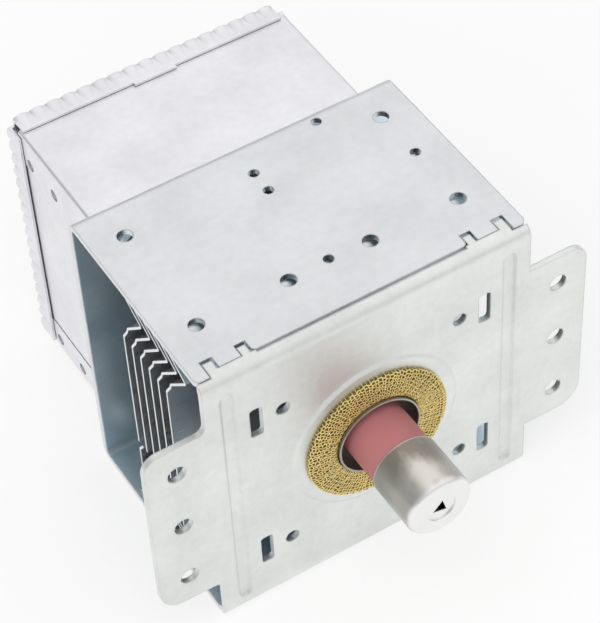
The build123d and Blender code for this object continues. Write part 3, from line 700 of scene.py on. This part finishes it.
class MAGNETRON_OT_filter(bpy.types.Operator):
    """Finish the chokes, the capacitor and the connector"""

    bl_idname = "magnetron.filter"
    bl_label = "Filter parts"

    def execute(self, context):
        parts = context.scene.magnetron_filter
        enamel = bare_metal("choke_enamel", parts.enamel_colour, roughness=0.3)
        resin = matte_solid("capacitor_resin", parts.resin_colour, roughness=0.45)
        plastic = matte_solid("connector_plastic", parts.plastic_colour, roughness=0.5, speck=0.02)
        tin = bare_metal("spade_tin", parts.tin_colour, roughness=0.28)
        for node in ("choke_coil_upper", "choke_coil_lower"):
            dress(node, enamel)
        dress("capacitor_case", resin)
        dress("connector_housing", plastic)
        for node in ("spade_terminal_upper", "spade_terminal_lower"):
            dress(node, tin)
        return {"FINISHED"}


def tube_along(shape, points, radius):
    """Closed wire of a few sides through a ring of points."""
    count = len(points)
    rings = []
    for number, point in enumerate(points):
        ahead = (points[(number + 1) % count] - points[number - 1]).normalized()
        across = ahead.cross(Vector((0.0, 1.0, 0.0))).normalized()
        rise = across.cross(ahead)
        ring = []
        for side in range(WIRE_SIDES):
            turn = math.tau * side / WIRE_SIDES
            corner = point + radius * math.cos(turn) * across + radius * math.sin(turn) * rise
            ring.append(shape.verts.new(corner))
        rings.append(ring)
    for number, ring in enumerate(rings):
        following = rings[(number + 1) % count]
        for side in range(WIRE_SIDES):
            beside = (side + 1) % WIRE_SIDES
            face = shape.faces.new((ring[side], ring[beside], following[beside], following[side]))
            face.smooth = True


def gasket_profile(inset):
    """Radii and depths at even steps over the gasket's back, from outer to inner foot."""
    half_width = (GASKET_OUTER - GASKET_INNER) / 2 - inset
    height = GASKET_FOOT - GASKET_CROWN - inset
    corners = []
    for step in range(PROFILE_STEPS + 1):
        angle = math.pi * step / PROFILE_STEPS
        swell = math.copysign(abs(math.cos(angle)) ** GASKET_SQUARE, math.cos(angle))
        radius = (GASKET_OUTER + GASKET_INNER) / 2 + half_width * swell
        rise = max(math.sin(angle), 0.0) ** GASKET_SQUARE
        corners.append(Vector((radius, GASKET_FOOT - height * rise)))
    lengths = [0.0]
    for before, after in zip(corners, corners[1:]):
        lengths.append(lengths[-1] + (after - before).length)
    even = []
    place = 0
    for step in range(PROFILE_STEPS + 1):
        target = lengths[-1] * step / PROFILE_STEPS
        while place < PROFILE_STEPS - 1 and lengths[place + 1] < target:
            place += 1
        gap = max(lengths[place + 1] - lengths[place], NO_LENGTH)
        even.append(corners[place].lerp(corners[place + 1], (target - lengths[place]) / gap))
    return even, lengths[-1]


def along_profile(profile, share):
    """Radius and depth at a share of the way over the gasket's back."""
    place = min(max(share, 0.0), 1.0) * PROFILE_STEPS
    step = min(int(place), PROFILE_STEPS - 1)
    return profile[step].lerp(profile[step + 1], place - step)


class MAGNETRON_OT_gasket(bpy.types.Operator):
    """Knit the gasket from brass wire"""

    bl_idname = "magnetron.gasket"
    bl_label = "Knitted gasket"

    def execute(self, context):
        gasket = context.scene.magnetron_gasket
        brass = bare_metal("gasket_brass", gasket.wire_colour, roughness=0.26)
        # The core's dark brass is painted shade standing in for the deeper wire.
        core = matte_solid("gasket_core_shade", gasket.core_shade_colour, roughness=0.6)
        dress("rf_gasket", brass)
        noise.seed_set(KNIT_SEED)
        shape = bmesh.new()
        self.knit(shape, gasket)
        self.fill(shape, gasket)
        mesh = bpy.data.meshes.new("knitted_gasket")
        shape.to_mesh(mesh)
        shape.free()
        piece = link_piece("knitted_gasket", mesh, [brass, core])
        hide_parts("rf_gasket")
        return {"FINISHED"}

    def knit(self, shape, gasket):
        """Rows of interlocking loops, pulled unevenly as the wire was pressed into a ring."""
        profile, length = gasket_profile(gasket.wire_radius)
        steps = gasket.wales * gasket.loop_steps
        for course in range(gasket.courses):
            points = []
            for step in range(steps):
                phase = math.tau * (step % gasket.loop_steps) / gasket.loop_steps
                share = (course + 0.5 + LOOP_REACH * math.cos(phase)) / gasket.courses
                wale = step / gasket.loop_steps + LOOP_CURL * math.sin(2.0 * phase)
                turn = math.tau / gasket.wales * wale
                pull = self.slack(turn, share, length)
                radius, depth = along_profile(profile, share + pull.x / length)
                turn += pull.y / radius
                depth += LOOP_LIFT * gasket.wire_radius * (1.0 - math.cos(phase))
                points.append(Vector((radius * math.cos(turn), depth, radius * math.sin(turn))))
            tube_along(shape, points, gasket.wire_radius)

    def slack(self, turn, share, length):
        """How far the wire is pulled out of line at a place on the ring, less near its feet."""
        spot = (GASKET_OUTER * math.cos(turn), length * share, GASKET_OUTER * math.sin(turn))
        freedom = min(max(share, 0.0), max(1.0 - share, 0.0), FOOT_HOLD) / FOOT_HOLD
        return noise.noise_vector(Vector(spot) / SLACK_SPAN) * SLACK * freedom

    def fill(self, shape, gasket):
        """Core under the loops, painted dark with the shade on the deeper wire."""
        profile, _ = gasket_profile(CORE_DROP)
        around = gasket.wales
        across = CORE_STEPS_PER_ROW * gasket.courses
        rings = []
        for number in range(around):
            turn = math.tau * number / around
            ring = []
            for step in range(across + 1):
                radius, depth = along_profile(profile, step / across)
                corner = (radius * math.cos(turn), depth, radius * math.sin(turn))
                ring.append(shape.verts.new(corner))
            rings.append(ring)
        for number, ring in enumerate(rings):
            following = rings[(number + 1) % around]
            for step in range(across + 1):
                beside = (step + 1) % (across + 1)
                corners = (ring[step], following[step], following[beside], ring[beside])
                face = shape.faces.new(corners)
                face.smooth = step < across
                face.material_index = CORE_SLOT


def seen_rays(tree):
    """1 for the rays in which the surroundings are seen, directly, mirrored or through glass."""
    path = add_node(tree, "ShaderNodeLightPath")
    total = path.outputs["Is Camera Ray"]
    for kind in ("Is Glossy Ray", "Is Transmission Ray"):
        total = combine(tree, "MAXIMUM", total, path.outputs[kind])
    return total


def area_lamp(name, place, target, size, power):
    """Large soft lamp aimed at a point, left out of reflections."""
    data = bpy.data.lights.new(name, "AREA")
    data.shape = "SQUARE"
    data.size = size
    data.energy = power
    lamp = bpy.data.objects.new(name, data)
    lamp.location = place
    lamp.rotation_mode = "QUATERNION"
    lamp.rotation_quaternion = (Vector(target) - Vector(place)).to_track_quat("-Z", "Y")
    lamp.visible_glossy = False
    bpy.context.scene.collection.objects.link(lamp)


class MAGNETRON_OT_stage(bpy.types.Operator):
    """Make the floor, the soft lights and the camera"""

    bl_idname = "magnetron.stage"
    bl_label = "Stage"

    def execute(self, context):
        stage = context.scene.magnetron_stage
        self.make_floor(context, stage)
        self.make_world(context, stage)
        area_lamp("key_lamp", stage.key_place, LAMP_AIM, stage.key_size, stage.key_power)
        self.make_camera(context, stage)
        context.scene.view_settings.view_transform = "Standard"
        return {"FINISHED"}

    def make_floor(self, context, stage):
        """Plain pale floor just under the yoke."""
        level = CAD_BOX[0].z
        mesh = bpy.data.meshes.new("floor")
        corners = [
            (-FLOOR_HALF, -FLOOR_HALF, level),
            (FLOOR_HALF, -FLOOR_HALF, level),
            (FLOOR_HALF, FLOOR_HALF, level),
            (-FLOOR_HALF, FLOOR_HALF, level),
        ]
        mesh.from_pydata(corners, [], [(0, 1, 2, 3)])
        floor = bpy.data.objects.new("floor", mesh)
        context.scene.collection.objects.link(floor)
        material, tree, shader = make_material("floor_paper")
        shader.inputs["Base Color"].default_value = (*stage.floor_colour, 1.0)
        shader.inputs["Roughness"].default_value = 1.0
        shader.inputs["Specular IOR Level"].default_value = 0.0
        glow = add_node(tree, "ShaderNodeEmission", Strength=1.0)
        mixed = add_node(tree, "ShaderNodeMixShader")
        share = combine(tree, "MULTIPLY", seen_rays(tree), stage.floor_glow)
        tree.links.new(share, mixed.inputs["Fac"])
        tree.links.new(shader.outputs[0], mixed.inputs[1])
        tree.links.new(glow.outputs[0], mixed.inputs[2])
        tree.links.new(mixed.outputs[0], tree.nodes["Material Output"].inputs["Surface"])
        mesh.materials.append(material)

    def make_world(self, context, stage):
        """White overhead and to the camera, with darker walls low and to the left when mirrored."""
        world = bpy.data.worlds.new("studio")
        world.use_nodes = True
        context.scene.world = world
        tree = world.node_tree
        strength = remap(tree, seen_rays(tree), stage.world_strength, 1.0, 0.0, 1.0)
        place = add_node(tree, "ShaderNodeTexCoord")
        split = add_node(tree, "ShaderNodeSeparateXYZ")
        tree.links.new(place.outputs["Generated"], split.inputs[0])
        sideways = remap(tree, split.outputs["X"], 0.0, 1.0, *WALL_END_X, curve="SMOOTHSTEP")
        upright = remap(tree, split.outputs["Z"], 0.0, 1.0, *WALL_END_Z, curve="SMOOTHSTEP")
        open_sky = combine(tree, "MULTIPLY", sideways, upright)
        walls = remap(tree, open_sky, stage.horizon, 1.0, 0.0, 1.0)
        path = add_node(tree, "ShaderNodeLightPath")
        mirrored = remap(tree, path.outputs["Is Glossy Ray"], 1.0, walls, 0.0, 1.0)
        background = tree.nodes["Background"]
        background.inputs["Color"].default_value = (1.0, 1.0, 1.0, 1.0)
        total = combine(tree, "MULTIPLY", strength, mirrored)
        tree.links.new(total, background.inputs["Strength"])

    def make_camera(self, context, stage):
        """The view of the photograph, solved from the corners of the yoke and the plate."""
        data = bpy.data.cameras.new("camera")
        data.lens = stage.camera_lens
        data.shift_x = stage.shift_x
        data.shift_y = stage.shift_y
        data.clip_start = CAMERA_CLIP
        camera = bpy.data.objects.new("camera", data)
        camera.location = stage.camera_place
        camera.rotation_mode = "QUATERNION"
        level = Vector(stage.camera_aim).to_track_quat("-Z", "Y")
        camera.rotation_quaternion = level @ Quaternion((0.0, 0.0, 1.0), stage.camera_roll)
        context.scene.collection.objects.link(camera)
        context.scene.camera = camera


class MAGNETRON_PT_panel(bpy.types.Panel):
    """Lists the settings and the steps that dress the magnetron."""

    bl_label = "Magnetron"
    bl_idname = "MAGNETRON_PT_panel"
    bl_space_type = "VIEW_3D"
    bl_region_type = "UI"
    bl_category = "Magnetron"

    def draw(self, context):
        for name, group in GROUPS:
            box = self.layout.box()
            for key in group.__annotations__:
                box.prop(getattr(context.scene, name), key)
        for operator in OPERATORS:
            self.layout.operator(operator.bl_idname)


GROUPS = (
    ("magnetron_sheets", MAGNETRON_PG_sheets),
    ("magnetron_tube", MAGNETRON_PG_tube),
    ("magnetron_filter", MAGNETRON_PG_filter),
    ("magnetron_gasket", MAGNETRON_PG_gasket),
    ("magnetron_stage", MAGNETRON_PG_stage),
)
OPERATORS = (
    MAGNETRON_OT_sheets,
    MAGNETRON_OT_fins,
    MAGNETRON_OT_magnets,
    MAGNETRON_OT_output,
    MAGNETRON_OT_filter,
    MAGNETRON_OT_gasket,
    MAGNETRON_OT_stage,
)


def register():
    """Makes the groups, the steps and the panel known to Blender."""
    for name, group in GROUPS:
        bpy.utils.register_class(group)
        setattr(bpy.types.Scene, name, PointerProperty(type=group))
    for operator in OPERATORS:
        bpy.utils.register_class(operator)
    bpy.utils.register_class(MAGNETRON_PT_panel)


def unregister():
    """Takes the panel, the steps and the groups out again."""
    bpy.utils.unregister_class(MAGNETRON_PT_panel)
    for operator in reversed(OPERATORS):
        bpy.utils.unregister_class(operator)
    for name, group in reversed(GROUPS):
        delattr(bpy.types.Scene, name)
        bpy.utils.unregister_class(group)


def main():
    """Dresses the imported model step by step."""
    register()
    bpy.ops.magnetron.sheets()
    bpy.ops.magnetron.fins()
    bpy.ops.magnetron.magnets()
    bpy.ops.magnetron.output()
    bpy.ops.magnetron.filter()
    bpy.ops.magnetron.gasket()
    bpy.ops.magnetron.stage()


if __name__ == "__main__":
    main()
